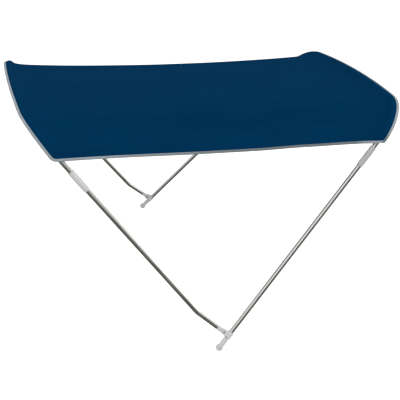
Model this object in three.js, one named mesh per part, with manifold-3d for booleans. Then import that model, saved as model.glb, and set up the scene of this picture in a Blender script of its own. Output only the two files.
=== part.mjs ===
// Bimini top: a cloth canopy stretched over two tube bows, with its slides, joining sleeves and eye ends.
// Millimetres, +Z up. +X runs from the second bow towards the main bow, and the near side is at -Y.
// The origin is midway between the two foot eyes, on the axis about which the main bow folds.
import * as THREE from 'three';
import { mergeVertices } from 'three/addons/utils/BufferGeometryUtils.js';
import Module from 'manifold-3d';

const wasm = await Module();
wasm.setup();
const deg = THREE.MathUtils.degToRad;

// Frame
const FOOT_HALF_SPAN = 960;
const SPLAY = deg(10.5);
const MAIN_LEAN = deg(47.5);
const MAIN_LEG = 1199;
const SLIDE_UP = 69;
const FOOT_LEAN = deg(39);
const FOOT_LENGTH = 185;
const SECOND_LEAN = deg(50.5);
const SECOND_LEG = 929;
const SHOULDER_R = 241;
const CAMBER = deg(4);
const BEND_R = 120;

// Tubes
const TUBE_R = 11;
const TUBE_WALL = 1.5;
const TUBE_SIDES = 16;
const BORE_SIDES = 12;
const GAP = 0.3;

// Joining sleeves: how far each one's middle lies below the shoulder
const SLEEVE_LENGTH = 110;
const MAIN_JOINT = 98;
const SECOND_JOINT = 136;

// Slides and eye ends
const COLLAR_R = 15;
const COLLAR_LENGTH = 36;
const COLLAR_BEVEL = 1.5;
const JAW_REACH = 30;
const JAW_R = 13.5;
const JAW_WALL = 5;
const LUG_R = 13;
const LUG_THICK = 12;
const PIN_R = 3;
const PIN_HEAD_R = 5.5;
const PIN_HEAD = 2.4;
const SHANK_R = 9.2;
const SHANK_LENGTH = 28;
const SHANK_TIP = 2;
const SECOND_TUBE_START = 68;
const MAIN_TUBE_START = 60;
const EYE_R = 16.5;
const EYE_THICK = 16;
const EYE_HOLE_R = 3.25;

// Cloth
const CLOTH = 2;
const EDGE_DROP = 19;
const CLOTH_CLEAR = 0.8;
const EDGE_CLEAR = 2;
const MAIN_STRIP = 26;
const SECOND_STRIP = 29;
const DIP = 29;
const DIP_LENGTH = 35;
const SAG = 56;
const SAG_HEADING = deg(60);
const CROWN_SHARE = 0.5;
const EDGE_SHARE = 0.12;
const CORNER_CUT = 2;

// Binding tape and bow pockets
const TAPE = 1;
const TAPE_GAP = 0.4;
const TAPE_OUTSIDE = 11.5;
const TAPE_INSIDE = 9.6;
const POCKET = 1.2;
const POCKET_R = 13.4;
const SEAM_START = 22;
const SEAM_END = 30;

// Steps of the faceted forms
const SHOULDER_STEPS = 10;
const CROWN_STEPS = 3;
const MIDDLE_STEPS = 9;
const BEND_STEPS = 3;
const ROUND_SIDES = 28;
// Columns of cloth near a bow, as distances from the bow square to it
const NEAR_BOW = [0, 4, 8, 14, SEAM_START, SEAM_END, 50, 90, 150];

const ALONG_X = new THREE.Vector3(1, 0, 0);
const ALONG_Y = new THREE.Vector3(0, 1, 0);
const SIDES = [['near', -1], ['far', 1]];

function finish(color, roughness, metalness = 0) {
  return new THREE.MeshStandardMaterial({ color, roughness, metalness });
}
const NAVY_CLOTH = () => finish(0x023254, 0.85);
const GREY_TAPE = () => finish(0xa3a9ad, 0.8);
const ALUMINIUM = () => finish(0xb4b5b0, 0.38, 1);
const WHITE_NYLON = () => finish(0xdcdcda, 0.5);
const STEEL = () => finish(0x9a9a9a, 0.3, 1);

const bimini = new THREE.Group();

function add(name, geometry, material) {
  const mesh = new THREE.Mesh(geometry, material);
  mesh.name = name;
  bimini.add(mesh);
  return mesh;
}

// Vectors

const leaning = (angle, towards) => new THREE.Vector3(towards * Math.cos(angle), 0, Math.sin(angle));
const along = (point, direction, distance) => point.clone().addScaledVector(direction, distance);

// Bows. A bow lies in a leaning plane: `up` is the plane's slope line, and a leg starts `half` off the middle.

function makeBow(base, half, up, leg) {
  const shoulder = half - leg * Math.tan(SPLAY);
  const arcY = shoulder - SHOULDER_R * Math.cos(SPLAY);
  const arcH = leg - SHOULDER_R * Math.sin(SPLAY);
  const crownHalf = arcY + SHOULDER_R * Math.sin(CAMBER);
  const crownR = crownHalf / Math.sin(CAMBER);
  const crownH = arcH + SHOULDER_R * Math.cos(CAMBER) - crownR * Math.cos(CAMBER);
  return { base, half, up, leg, shoulder, arcY, arcH, crownR, crownH };
}

// The bow's centre line at a row: its point, and its direction from the near side to the far side
function onBow(bow, { heading, below = 0, side }) {
  let y;
  let h;
  if (below > 0) {
    y = bow.shoulder + below * Math.tan(SPLAY);
    h = bow.leg - below;
  } else if (heading < Math.PI / 2 - CAMBER) {
    y = bow.arcY + SHOULDER_R * Math.cos(heading);
    h = bow.arcH + SHOULDER_R * Math.sin(heading);
  } else {
    y = bow.crownR * Math.cos(heading);
    h = bow.crownH + bow.crownR * Math.sin(heading);
  }
  const point = along(along(bow.base, bow.up, h), ALONG_Y, side * y);
  const tangent = along(new THREE.Vector3(), ALONG_Y, Math.sin(heading));
  tangent.addScaledVector(bow.up, -side * Math.cos(heading)).normalize();
  return { point, tangent };
}

// Rows from the near edge over the crown to the far edge. The heading is the bow's turn from upright.
function makeRows(lowest) {
  const half = [{ heading: SPLAY, below: lowest }];
  const turn = Math.PI / 2 - CAMBER - SPLAY;
  for (let i = 0; i <= SHOULDER_STEPS; i += 1) half.push({ heading: SPLAY + turn * i / SHOULDER_STEPS });
  for (let i = 1; i <= CROWN_STEPS; i += 1) {
    half.push({ heading: Math.PI / 2 - CAMBER + CAMBER * i / CROWN_STEPS });
  }
  const near = half.map((row) => ({ ...row, side: -1 }));
  const far = half.slice(0, -1).reverse().map((row) => ({ ...row, side: 1 }));
  return [...near, ...far];
}

// A leg's centre line, `rise` up the leaning plane from its start
function onLeg(base, half, up, side, rise) {
  return along(along(base, up, rise), ALONG_Y, side * (half - rise * Math.tan(SPLAY)));
}
function legDirection(up, side) {
  return along(up, ALONG_Y, -side * Math.tan(SPLAY)).normalize();
}

const origin = new THREE.Vector3();
const mainUp = leaning(MAIN_LEAN, 1);
const footUp = leaning(FOOT_LEAN, -1);
const secondUp = leaning(SECOND_LEAN, -1);
const slideBase = along(origin, mainUp, SLIDE_UP);
const bendBase = along(slideBase, footUp, FOOT_LENGTH);
const slideHalf = FOOT_HALF_SPAN - SLIDE_UP * Math.tan(SPLAY);
const bendHalf = slideHalf - FOOT_LENGTH * Math.tan(SPLAY);
const mainBow = makeBow(origin, FOOT_HALF_SPAN, mainUp, MAIN_LEG);
const secondBow = makeBow(bendBase, bendHalf, secondUp, SECOND_LEG);
const JOINED_BOWS = [
  { name: 'main', bow: mainBow, joint: MAIN_JOINT },
  { name: 'second', bow: secondBow, joint: SECOND_JOINT },
];

// Tubes

// A path given by its stations: where each section stands, and which way it faces
class StationPath extends THREE.Curve {
  constructor(stations) {
    super();
    this.stations = stations;
  }
  at(share) {
    return this.stations[Math.round(share * (this.stations.length - 1))];
  }
  getPointAt(share, target = new THREE.Vector3()) {
    return target.copy(this.at(share).point);
  }
  getTangentAt(share, target = new THREE.Vector3()) {
    return target.copy(this.at(share).tangent);
  }
}

function circle(radius, sides) {
  const points = [];
  for (let i = 0; i < sides; i += 1) {
    const angle = 2 * Math.PI * i / sides;
    points.push(new THREE.Vector2(radius * Math.cos(angle), radius * Math.sin(angle)));
  }
  return points;
}

// The bore's flats lie a wall's thickness inside the tube
function tube(stations) {
  const boreR = (TUBE_R - TUBE_WALL) / Math.cos(Math.PI / BORE_SIDES);
  const section = new THREE.Shape(circle(TUBE_R, TUBE_SIDES));
  section.holes.push(new THREE.Path(circle(boreR, BORE_SIDES)));
  const extrudePath = new StationPath(stations);
  return new THREE.ExtrudeGeometry(section, { steps: stations.length - 1, extrudePath, bevelEnabled: false });
}

function straight(from, to) {
  const tangent = to.clone().sub(from).normalize();
  return [{ point: from, tangent }, { point: to, tangent }];
}

// Stations round a bend between two directions
function bend(corner, first, second) {
  const turn = first.angleTo(second);
  const inward = along(second, first, -first.dot(second)).normalize();
  const start = along(corner, first, -BEND_R * Math.tan(turn / 2));
  const stations = [];
  for (let i = 0; i <= BEND_STEPS; i += 1) {
    const angle = turn * i / BEND_STEPS;
    const forward = along(start, first, BEND_R * Math.sin(angle));
    const point = along(forward, inward, BEND_R * (1 - Math.cos(angle)));
    const tangent = first.clone().multiplyScalar(Math.cos(angle)).addScaledVector(inward, Math.sin(angle));
    stations.push({ point, tangent });
  }
  return stations;
}

function mainLeg(side) {
  const eye = onLeg(origin, FOOT_HALF_SPAN, mainUp, side, 0);
  const foot = along(eye, legDirection(mainUp, side), MAIN_TUBE_START);
  const joint = onLeg(origin, FOOT_HALF_SPAN, mainUp, side, MAIN_LEG - MAIN_JOINT - GAP / 2);
  return tube(straight(foot, joint));
}

function secondLeg(side) {
  const slide = onLeg(slideBase, slideHalf, footUp, side, 0);
  const corner = onLeg(bendBase, bendHalf, secondUp, side, 0);
  const joint = onLeg(bendBase, bendHalf, secondUp, side, SECOND_LEG - SECOND_JOINT - GAP / 2);
  const first = legDirection(footUp, side);
  const second = legDirection(secondUp, side);
  const start = { point: along(slide, first, SECOND_TUBE_START), tangent: first };
  return tube([start, ...bend(corner, first, second), { point: joint, tangent: second }]);
}

function buildTubes() {
  for (const { name, bow, joint } of JOINED_BOWS) {
    const stations = makeRows(joint - GAP / 2).map((row) => onBow(bow, row));
    add(`${name}_arch`, tube(stations), ALUMINIUM());
  }
  for (const [sideName, side] of SIDES) {
    add(`main_leg_${sideName}`, mainLeg(side), ALUMINIUM());
    add(`second_leg_${sideName}`, secondLeg(side), ALUMINIUM());
  }
}

// A form turned about Y, from a table of radius and height
function lathe(profile, sides) {
  return new THREE.LatheGeometry(profile.map(([r, h]) => new THREE.Vector2(r, h)), sides);
}

// Joining sleeves: turned about the tube, with a rim at the top and a rounded lower end

const SEAT_R = (TUBE_R + GAP) / Math.cos(Math.PI / TUBE_SIDES);

function sleeve() {
  const half = SLEEVE_LENGTH / 2;
  const profile = [
    [SEAT_R, -half], [12.6, -half], [14, -half + 4], [14.7, -half + 20], [14.9, half - 30],
    [14.4, half - 5], [15.2, half - 4], [15.2, half - 1], [14.4, half], [SEAT_R, half], [SEAT_R, -half],
  ];
  return lathe(profile, TUBE_SIDES);
}

function buildSleeves() {
  for (const { name, bow, joint } of JOINED_BOWS) {
    for (const [sideName, side] of SIDES) {
      const mesh = add(`${name}_sleeve_${sideName}`, sleeve(), WHITE_NYLON());
      mesh.position.copy(onLeg(bow.base, bow.half, bow.up, side, bow.leg - joint));
      mesh.quaternion.setFromUnitVectors(ALONG_Y, legDirection(bow.up, side));
    }
  }
}

// Solids that are joined and cut

function solid(geometry) {
  const bare = geometry.clone();
  for (const name of ['normal', 'uv']) bare.deleteAttribute(name);
  const merged = mergeVertices(bare, 1e-4);
  return new wasm.Manifold(new wasm.Mesh({
    numProp: 3,
    vertProperties: new Float32Array(merged.attributes.position.array),
    triVerts: new Uint32Array(merged.index.array),
  }));
}

function toGeometry(manifold) {
  const mesh = manifold.getMesh();
  const geometry = new THREE.BufferGeometry();
  geometry.setAttribute('position', new THREE.BufferAttribute(new Float32Array(mesh.vertProperties), 3));
  geometry.setIndex(new THREE.BufferAttribute(new Uint32Array(mesh.triVerts), 1));
  geometry.computeVertexNormals();
  return geometry;
}

// The same form turned about +X
function turned(profile, sides = ROUND_SIDES) {
  return lathe(profile, sides).rotateZ(-Math.PI / 2);
}

// A chamfered barrel's profile
function barrel(radius, length, chamfer) {
  const half = length / 2;
  return [[0, -half], [radius - chamfer, -half], [radius, -half + chamfer], [radius, half - chamfer],
    [radius - chamfer, half], [0, half]];
}

// A disc across Z with chamfered rims, and a plain bar along Z
const disc = (radius, thick, chamfer) => lathe(barrel(radius, thick, chamfer), ROUND_SIDES).rotateX(Math.PI / 2);
const bar = (radius, length) => new THREE.CylinderGeometry(radius, radius, length, 20).rotateX(Math.PI / 2);

// The round neck of an eye end, with the shank that plugs into the tube
function neckProfile(start, neckR, full, end) {
  return [[0, start], [neckR, start], [TUBE_R, full], [TUBE_R, end - GAP], [SHANK_R, end - GAP],
    [SHANK_R, end + SHANK_LENGTH - SHANK_TIP], [SHANK_R - SHANK_TIP, end + SHANK_LENGTH], [0, end + SHANK_LENGTH]];
}

// Slides. In a slide's own frame +X runs up the second leg, Z is the pin's axis and the main leg lies in XY.

const slotWidth = LUG_THICK + 2 * GAP;
const jawThick = slotWidth + 2 * JAW_WALL;

function slideFrame(side) {
  const towards = legDirection(footUp, side);
  const leg = legDirection(mainUp, side);
  const pinAxis = towards.clone().cross(leg).normalize();
  const basis = new THREE.Matrix4().makeBasis(towards, pinAxis.clone().cross(towards), pinAxis);
  return { position: onLeg(slideBase, slideHalf, footUp, side, 0), basis, legAngle: towards.angleTo(leg) };
}

function place(mesh, frame) {
  mesh.position.copy(frame.position);
  mesh.quaternion.setFromRotationMatrix(frame.basis);
}

function slideSolid(legAngle) {
  const collar = turned(barrel(COLLAR_R, COLLAR_LENGTH, COLLAR_BEVEL)).rotateZ(legAngle);
  const boreEnd = COLLAR_LENGTH;
  const boreProfile = [[0, -boreEnd], [SEAT_R, -boreEnd], [SEAT_R, boreEnd], [0, boreEnd]];
  const bore = turned(boreProfile, TUBE_SIDES).rotateZ(legAngle);
  const arm = new THREE.BoxGeometry(JAW_REACH, 2 * JAW_R, jawThick).translate(JAW_REACH / 2, 0, 0);
  const nose = disc(JAW_R, jawThick, 1).translate(JAW_REACH, 0, 0);
  const slotStart = JAW_REACH - LUG_R - 2 * GAP;
  const slot = new THREE.BoxGeometry(2 * JAW_REACH, 3 * JAW_R, slotWidth).translate(slotStart + JAW_REACH, 0, 0);
  const pinHole = bar(PIN_R + GAP, 2 * jawThick).translate(JAW_REACH, 0, 0);
  const body = solid(collar).add(solid(arm)).add(solid(nose));
  return toGeometry(body.subtract(solid(bore)).subtract(solid(slot)).subtract(solid(pinHole)));
}

// The eye end of a second leg: a flat lug between the jaws, a round neck, and a shank inside the tube
function secondEyeSolid() {
  const neckStart = JAW_REACH + JAW_R + 1;
  const lug = disc(LUG_R, LUG_THICK, 0.8).translate(JAW_REACH, 0, 0);
  const tongueLength = neckStart + 3 - JAW_REACH;
  const tongue = new THREE.BoxGeometry(tongueLength, 2 * TUBE_R - 2, LUG_THICK);
  tongue.translate(JAW_REACH + tongueLength / 2, 0, 0);
  const neck = turned(neckProfile(neckStart, TUBE_R - 1.5, neckStart + 2, SECOND_TUBE_START));
  const hole = bar(PIN_R + GAP, 2 * LUG_THICK).translate(JAW_REACH, 0, 0);
  return toGeometry(solid(lug).add(solid(tongue)).add(solid(neck)).subtract(solid(hole)));
}

// A headed pin across the jaws, along Z
function pin() {
  const inner = jawThick / 2 + GAP;
  const outer = inner + PIN_HEAD;
  const profile = [[0, -outer], [PIN_HEAD_R - 1.2, -outer], [PIN_HEAD_R, -inner - 0.8], [PIN_HEAD_R, -inner],
    [PIN_R, -inner], [PIN_R, inner], [PIN_HEAD_R, inner], [PIN_HEAD_R, inner + 0.8], [PIN_HEAD_R - 1.2, outer],
    [0, outer]];
  return lathe(profile, TUBE_SIDES).rotateX(Math.PI / 2).translate(JAW_REACH, 0, 0);
}

// The foot eye of a main leg: a round eye across Y with its bolt hole, and a neck that leans with the leg
function mainEyeSolid(side) {
  const eye = disc(EYE_R, EYE_THICK, 1.5).rotateX(Math.PI / 2);
  const neck = turned(neckProfile(9, 7, EYE_R, MAIN_TUBE_START));
  neck.applyQuaternion(new THREE.Quaternion().setFromUnitVectors(ALONG_X, legDirection(mainUp, side)));
  const hole = bar(EYE_HOLE_R, 4 * EYE_THICK).rotateX(Math.PI / 2);
  return toGeometry(solid(eye).add(solid(neck)).subtract(solid(hole)));
}

function buildFittings() {
  for (const [sideName, side] of SIDES) {
    const frame = slideFrame(side);
    place(add(`slide_${sideName}`, slideSolid(frame.legAngle), WHITE_NYLON()), frame);
    place(add(`second_eye_${sideName}`, secondEyeSolid(), WHITE_NYLON()), frame);
    place(add(`slide_pin_${sideName}`, pin(), STEEL()), frame);
    const eye = add(`main_eye_${sideName}`, mainEyeSolid(side), WHITE_NYLON());
    eye.position.set(0, side * FOOT_HALF_SPAN, 0);
  }
}

// Cloth. A sheet is two grids of points, its outer and its inner face, and a rim that joins them.

function sheetGeometry(outer, inner) {
  const rows = outer.length;
  const columns = outer[0].length;
  const positions = [];
  const index = [];
  for (const face of [outer, inner]) {
    for (const row of face) for (const point of row) positions.push(point.x, point.y, point.z);
  }
  const at = (face, i, j) => face * rows * columns + i * columns + j;
  const quad = (a, b, c, d) => index.push(a, b, c, a, c, d);
  for (let i = 0; i + 1 < rows; i += 1) {
    for (let j = 0; j + 1 < columns; j += 1) {
      quad(at(0, i, j), at(0, i + 1, j), at(0, i + 1, j + 1), at(0, i, j + 1));
      quad(at(1, i, j), at(1, i, j + 1), at(1, i + 1, j + 1), at(1, i + 1, j));
    }
    quad(at(0, i, 0), at(1, i, 0), at(1, i + 1, 0), at(0, i + 1, 0));
    quad(at(0, i + 1, columns - 1), at(1, i + 1, columns - 1), at(1, i, columns - 1), at(0, i, columns - 1));
  }
  for (let j = 0; j + 1 < columns; j += 1) {
    quad(at(0, 0, j + 1), at(1, 0, j + 1), at(1, 0, j), at(0, 0, j));
    quad(at(0, rows - 1, j), at(1, rows - 1, j), at(1, rows - 1, j + 1), at(0, rows - 1, j + 1));
  }
  const geometry = new THREE.BufferGeometry();
  geometry.setAttribute('position', new THREE.Float32BufferAttribute(positions, 3));
  geometry.setIndex(enclosed(positions, index) > 0 ? index : index.reverse());
  geometry.computeVertexNormals();
  return geometry;
}

// Six times the volume inside the triangles, negative where they face inwards
function enclosed(positions, index) {
  const corner = (k) => new THREE.Vector3().fromArray(positions, 3 * index[k]);
  let sum = 0;
  for (let k = 0; k < index.length; k += 3) sum += corner(k).dot(corner(k + 1).cross(corner(k + 2)));
  return sum;
}

// The share of the full sag that a row has: least at the edges, most on the shoulder, less at the crown
function sagShare(heading) {
  if (heading < SAG_HEADING) return EDGE_SHARE + (1 - EDGE_SHARE) * Math.sin(Math.PI / 2 * heading / SAG_HEADING);
  const onwards = (heading - SAG_HEADING) / (Math.PI / 2 - SAG_HEADING);
  return CROWN_SHARE + (1 - CROWN_SHARE) * Math.cos(Math.PI / 2 * onwards) ** 2;
}

// How far the middle of the cloth stands off a bow's centre line
function standOff(heading) {
  const upwards = Math.min((heading - SPLAY) / deg(30), 1);
  return TUBE_R + CLOTH / 2 + EDGE_CLEAR + (CLOTH_CLEAR - EDGE_CLEAR) * upwards;
}

// How the cloth leaves a bow: it lies round the tube up to `leaves`, having come down by `round`
function makeWrap(share, length, square, rise) {
  const wrap = Math.atan(share * (DIP / DIP_LENGTH + 4 * SAG / (length * square)));
  return { leaves: rise * Math.sin(wrap), round: rise * (1 - Math.cos(wrap)) };
}

// A row of the cloth across the span: its two bow points, the normals there, and how squarely it crosses them
function makeSpan(row) {
  const second = onBow(secondBow, row);
  const main = onBow(mainBow, row);
  const across = main.point.clone().sub(second.point);
  const length = across.length();
  across.divideScalar(length);
  const rise = standOff(row.heading);
  const share = sagShare(row.heading);
  const bows = [second, main].map(({ point, tangent }) => {
    const normal = across.clone().cross(tangent);
    const square = normal.length();
    normal.divideScalar(square);
    const wrap = makeWrap(share, length, square, rise);
    return { centre: point, tangent, normal, square, cloth: along(point, normal, rise), ...wrap };
  });
  return { across, length, rise, share, bows };
}

// The cloth's middle at a place along the span, measured from the second bow
function onCloth(span, place) {
  const { across, length, rise, share, bows: [second, main] } = span;
  const bySecond = place < length / 2;
  const bow = bySecond ? second : main;
  const beyond = bySecond ? place : place - length;
  if (beyond * (bySecond ? 1 : -1) <= 0) return along(bow.cloth, across, beyond);
  const part = place / length;
  const normal = second.normal.clone().lerp(main.normal, part).normalize();
  const beside = Math.abs(beyond) * bow.square;
  let down = rise - Math.sqrt(rise ** 2 - Math.min(beside, bow.leaves) ** 2);
  if (beside > bow.leaves) {
    const start = second.leaves / second.square;
    const free = (place - start) / (length - start - main.leaves / main.square);
    down = bow.round + share * DIP * (1 - Math.exp(-(beside - bow.leaves) / DIP_LENGTH));
    down += share * SAG * 4 * free * (1 - free);
  }
  return second.cloth.clone().lerp(main.cloth, part).addScaledVector(normal, -down);
}

// Places of the columns along one span, from the second bow's end to the main bow's
function columnPlaces({ length, bows: [second, main] }) {
  const left = NEAR_BOW.map((distance) => distance / second.square);
  const right = NEAR_BOW.map((distance) => length - distance / main.square).reverse();
  const middle = [];
  for (let i = 1; i < MIDDLE_STEPS; i += 1) {
    middle.push(THREE.MathUtils.lerp(left.at(-1), right[0], i / MIDDLE_STEPS));
  }
  return [-SECOND_STRIP / second.square, ...left, ...middle, ...right, length + MAIN_STRIP / main.square];
}

// Normals of a grid of points, each from its neighbours
function gridNormals(grid) {
  return grid.map((row, i) => row.map((_, j) => {
    const before = grid[Math.max(i - 1, 0)][j];
    const after = grid[Math.min(i + 1, grid.length - 1)][j];
    const left = row[Math.max(j - 1, 0)];
    const right = row[Math.min(j + 1, row.length - 1)];
    const alongRow = right.clone().sub(left).normalize();
    return alongRow.cross(after.clone().sub(before)).normalize();
  }));
}

const rows = makeRows(EDGE_DROP);
const spans = rows.map(makeSpan);
const clothGrid = spans.map((span) => columnPlaces(span).map((place) => onCloth(span, place)));
const lastRow = clothGrid.length - 1;
const lastColumn = clothGrid[0].length - 1;

// The left corners are cut round: the corner point moves in towards the middle of the cloth
for (const i of [0, lastRow]) {
  const inwards = i === 0 ? 1 : -1;
  const corner = clothGrid[i][0];
  const upwards = clothGrid[i + inwards][0].clone().sub(corner).normalize();
  const sideways = clothGrid[i][1].clone().sub(corner).normalize();
  corner.addScaledVector(upwards.add(sideways).normalize(), CORNER_CUT);
}
const clothNormals = gridNormals(clothGrid);

function offset(grid, normals, distance) {
  return grid.map((row, i) => row.map((point, j) => along(point, normals[i][j], distance)));
}

function buildCanopy() {
  const outer = offset(clothGrid, clothNormals, CLOTH / 2);
  const inner = offset(clothGrid, clothNormals, -CLOTH / 2);
  add('canopy', sheetGeometry(outer, inner), NAVY_CLOTH());
}

// Binding: a tape folded over the edge. A station holds an edge point, the cloth's normal there, the way into the
// cloth for each millimetre of tape width, and the room that the fold leaves under the cloth's middle.

const SIDE_ROOM = CLOTH / 2 + TAPE_GAP;
const END_ROOM = SIDE_ROOM + POCKET + GAP;

// The lines of the cloth that run in from an edge point: along its row from an end, up its column from a side
function rowInwards(i, j) {
  return clothGrid[i][j === 0 ? 1 : j - 1].clone().sub(clothGrid[i][j]).normalize();
}
function columnInwards(i, j) {
  return clothGrid[i === 0 ? 1 : i - 1][j].clone().sub(clothGrid[i][j]).normalize();
}

function sideStation(i, j) {
  const alongEdge = clothGrid[i][Math.max(j - 1, 0)].clone().sub(clothGrid[i][Math.min(j + 1, lastColumn)]);
  const inwards = columnInwards(i, j);
  inwards.divideScalar(inwards.clone().cross(alongEdge.normalize()).length());
  return { point: clothGrid[i][j], normal: clothNormals[i][j], inwards, room: SIDE_ROOM };
}

function endStation(i, j) {
  const inwards = rowInwards(i, j);
  const { tangent } = spans[i].bows[j === 0 ? 0 : 1];
  inwards.divideScalar(inwards.clone().cross(tangent).length());
  return { point: clothGrid[i][j], normal: clothNormals[i][j], inwards, room: END_ROOM };
}

// A corner's way in takes both tapes' widths
function cornerStation(i) {
  const row = rowInwards(i, 0);
  const column = columnInwards(i, 0);
  const sharp = row.clone().cross(column).length();
  const inwards = row.add(column).divideScalar(sharp);
  return { point: clothGrid[i][0], normal: clothNormals[i][0], inwards, room: (SIDE_ROOM + END_ROOM) / 2 };
}

// The side tape stops where the right end's tape begins
function stopStation(i) {
  const row = rowInwards(i, lastColumn);
  const inwards = columnInwards(i, lastColumn);
  const sharp = row.clone().cross(inwards).length();
  const point = along(clothGrid[i][lastColumn], row, (TAPE_OUTSIDE + 1.5 * GAP) / sharp);
  return { point, normal: clothNormals[i][lastColumn], inwards: inwards.divideScalar(sharp), room: SIDE_ROOM };
}

function tapeGeometry(stations) {
  const outer = [];
  const inner = [];
  for (const { point, normal, inwards, room } of stations) {
    const spot = (into, up) => along(along(point, inwards, into), normal, up);
    const face = (out) => [spot(TAPE_OUTSIDE, SIDE_ROOM + out), spot(-GAP - out, SIDE_ROOM + out),
      spot(-GAP - out, -room - out), spot(TAPE_INSIDE, -room - out)];
    outer.push(face(TAPE));
    inner.push(face(0));
  }
  return sheetGeometry(outer, inner);
}

function buildBindings() {
  const stations = [stopStation(0)];
  for (let j = lastColumn - 1; j > 0; j -= 1) stations.push(sideStation(0, j));
  stations.push(cornerStation(0));
  for (let i = 1; i < lastRow; i += 1) stations.push(endStation(i, 0));
  stations.push(cornerStation(lastRow));
  for (let j = 1; j < lastColumn; j += 1) stations.push(sideStation(lastRow, j));
  stations.push(stopStation(lastRow));
  add('binding_sides', tapeGeometry(stations), GREY_TAPE());
  const end = [];
  for (let i = lastRow; i >= 0; i -= 1) end.push(endStation(i, lastColumn));
  add('binding_right_end', tapeGeometry(end), GREY_TAPE());
}

// Bow pockets: cloth caught under the end tape, led below the tube and sewn on further in

const POCKET_SIDE = 14;
const POCKET_TURNS = [80, 120, 160, 200, 235, 262].map(deg);
const underCloth = CLOTH / 2 + GAP + POCKET / 2;

// A pocket's middle line at one row, in the plane of the span and the cloth's normal
function pocketLine(span, side, strip, i) {
  const bow = span.bows[side];
  const inwards = span.across.clone().multiplyScalar(side === 0 ? 1 : -1);
  const spot = (distance, height) => along(along(bow.centre, inwards, distance / bow.square), bow.normal, height);
  const line = [spot(-strip + 2, span.rise - underCloth), spot(-POCKET_SIDE, span.rise - underCloth)];
  for (const turn of POCKET_TURNS) line.push(spot(-POCKET_R * Math.sin(turn), POCKET_R * Math.cos(turn)));
  for (const distance of [SEAM_START, SEAM_END]) {
    const column = NEAR_BOW.indexOf(distance) + 1;
    const j = side === 0 ? column : lastColumn - column;
    line.push(along(clothGrid[i][j], clothNormals[i][j], -underCloth));
  }
  return line;
}

function buildPocket(name, side, strip) {
  const lines = [];
  for (let i = 1; i < lastRow; i += 1) {
    const line = pocketLine(spans[i], side, strip, i);
    lines.push(side === 0 ? line : line.reverse());
  }
  const normals = gridNormals(lines);
  const geometry = sheetGeometry(offset(lines, normals, POCKET / 2), offset(lines, normals, -POCKET / 2));
  add(name, geometry, NAVY_CLOTH());
}

buildCanopy();
buildBindings();
buildPocket('pocket_second', 0, SECOND_STRIP);
buildPocket('pocket_main', 1, MAIN_STRIP);
buildTubes();
buildSleeves();
buildFittings();

export default bimini;
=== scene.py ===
import math

import bpy
import numpy as np
from mathutils import Matrix, Vector


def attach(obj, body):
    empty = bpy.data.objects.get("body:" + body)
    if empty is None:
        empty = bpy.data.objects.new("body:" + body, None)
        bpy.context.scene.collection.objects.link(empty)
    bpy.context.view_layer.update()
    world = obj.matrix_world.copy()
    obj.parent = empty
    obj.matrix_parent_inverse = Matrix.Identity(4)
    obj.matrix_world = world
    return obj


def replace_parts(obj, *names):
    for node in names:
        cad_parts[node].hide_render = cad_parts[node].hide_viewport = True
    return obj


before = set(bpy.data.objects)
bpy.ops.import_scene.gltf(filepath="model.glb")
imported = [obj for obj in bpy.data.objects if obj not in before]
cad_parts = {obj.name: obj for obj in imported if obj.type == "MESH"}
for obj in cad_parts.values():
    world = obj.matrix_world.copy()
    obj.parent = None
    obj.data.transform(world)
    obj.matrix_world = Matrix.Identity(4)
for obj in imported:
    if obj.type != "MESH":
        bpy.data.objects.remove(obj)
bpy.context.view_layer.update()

rad = math.radians
MM = 0.001
ACROSS = np.array([0.0, 1.0, 0.0])
SIDES = ((-1, "near"), (1, "far"))

# Frame, as in the CAD
FOOT_HALF_SPAN = 960
SPLAY = rad(10.5)
MAIN_LEAN = rad(47.5)
MAIN_LEG = 1199
SLIDE_UP = 69
FOOT_LEAN = rad(39)
FOOT_LENGTH = 185
SECOND_LEAN = rad(50.5)
SECOND_LEG = 929
SHOULDER_R = 241
CAMBER = rad(4)
BEND_R = 120
TUBE_R = 11
BORE_R = 9.5
TUBE_GAP = 0.15
SECOND_TUBE_START = 68
MAIN_TUBE_START = 60

# Cloth: its rise over the tubes, its dips beside the bows and its sag between them
CLOTH = 1.0
EDGE_DROP = 19
EDGE_RISE = 14.0
CROWN_RISE = 12.8
RISE_TURN = rad(30)
DIP = 29
SAG = 56
SAG_HEADING = rad(60)
CROWN_SHARE = 0.5
EDGE_SHARE = 0.12
DROOP_FADE = 3
CORNER_R = 40

# Hem: its hang between the bows and its lift beside the main bow, with the shares of the span over
# which each grows and fades, and how deep into the cloth they reach
HEM_HANG = 6.3
HANG_GROWS = (0.14, 0.46)
HANG_FADES = (0.6, 0.76)
HEM_LIFT = 3.0
LIFT_GROWS = (0.76, 0.92)
LIFT_FADES = (0.95, 1.0)
HEM_REACH = 70

# Creases of the stretched cloth, as listed: where each starts and ends, its height and its width.
# A place is a share of the span from the second bow and a run from the near edge. The rest is in
# millimetres, and a trough has a negative height.
CREASES = [
    ((0.06, 60), (0.34, 250), 2.2, 26),
    ((0.05, 110), (0.42, 300), -1.8, 34),
    ((0.94, 70), (0.70, 240), 2.0, 24),
    ((0.95, 120), (0.60, 320), -1.6, 32),
    ((0.10, 300), (0.95, 330), 2.4, 30),
    ((0.25, 375), (0.97, 392), -2.2, 36),
    ((0.45, 455), (0.96, 470), 1.6, 30),
    ((0.05, 430), (0.50, 415), 1.4, 34),
    ((0.08, 40), (0.45, 34), 1.6, 16),
    ((0.07, 1640), (0.36, 1430), 2.0, 26),
    ((0.95, 1620), (0.66, 1440), 2.2, 26),
    ((0.08, 1390), (0.93, 1360), 2.2, 32),
    ((0.12, 1300), (0.90, 1315), -1.8, 36),
    ((0.05, 760), (0.60, 700), -1.4, 46),
    ((0.45, 980), (0.96, 930), -1.3, 44),
]
CREASE_WANDER = 9
SLACK = 0.5
PUCKER = 0.35

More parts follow.
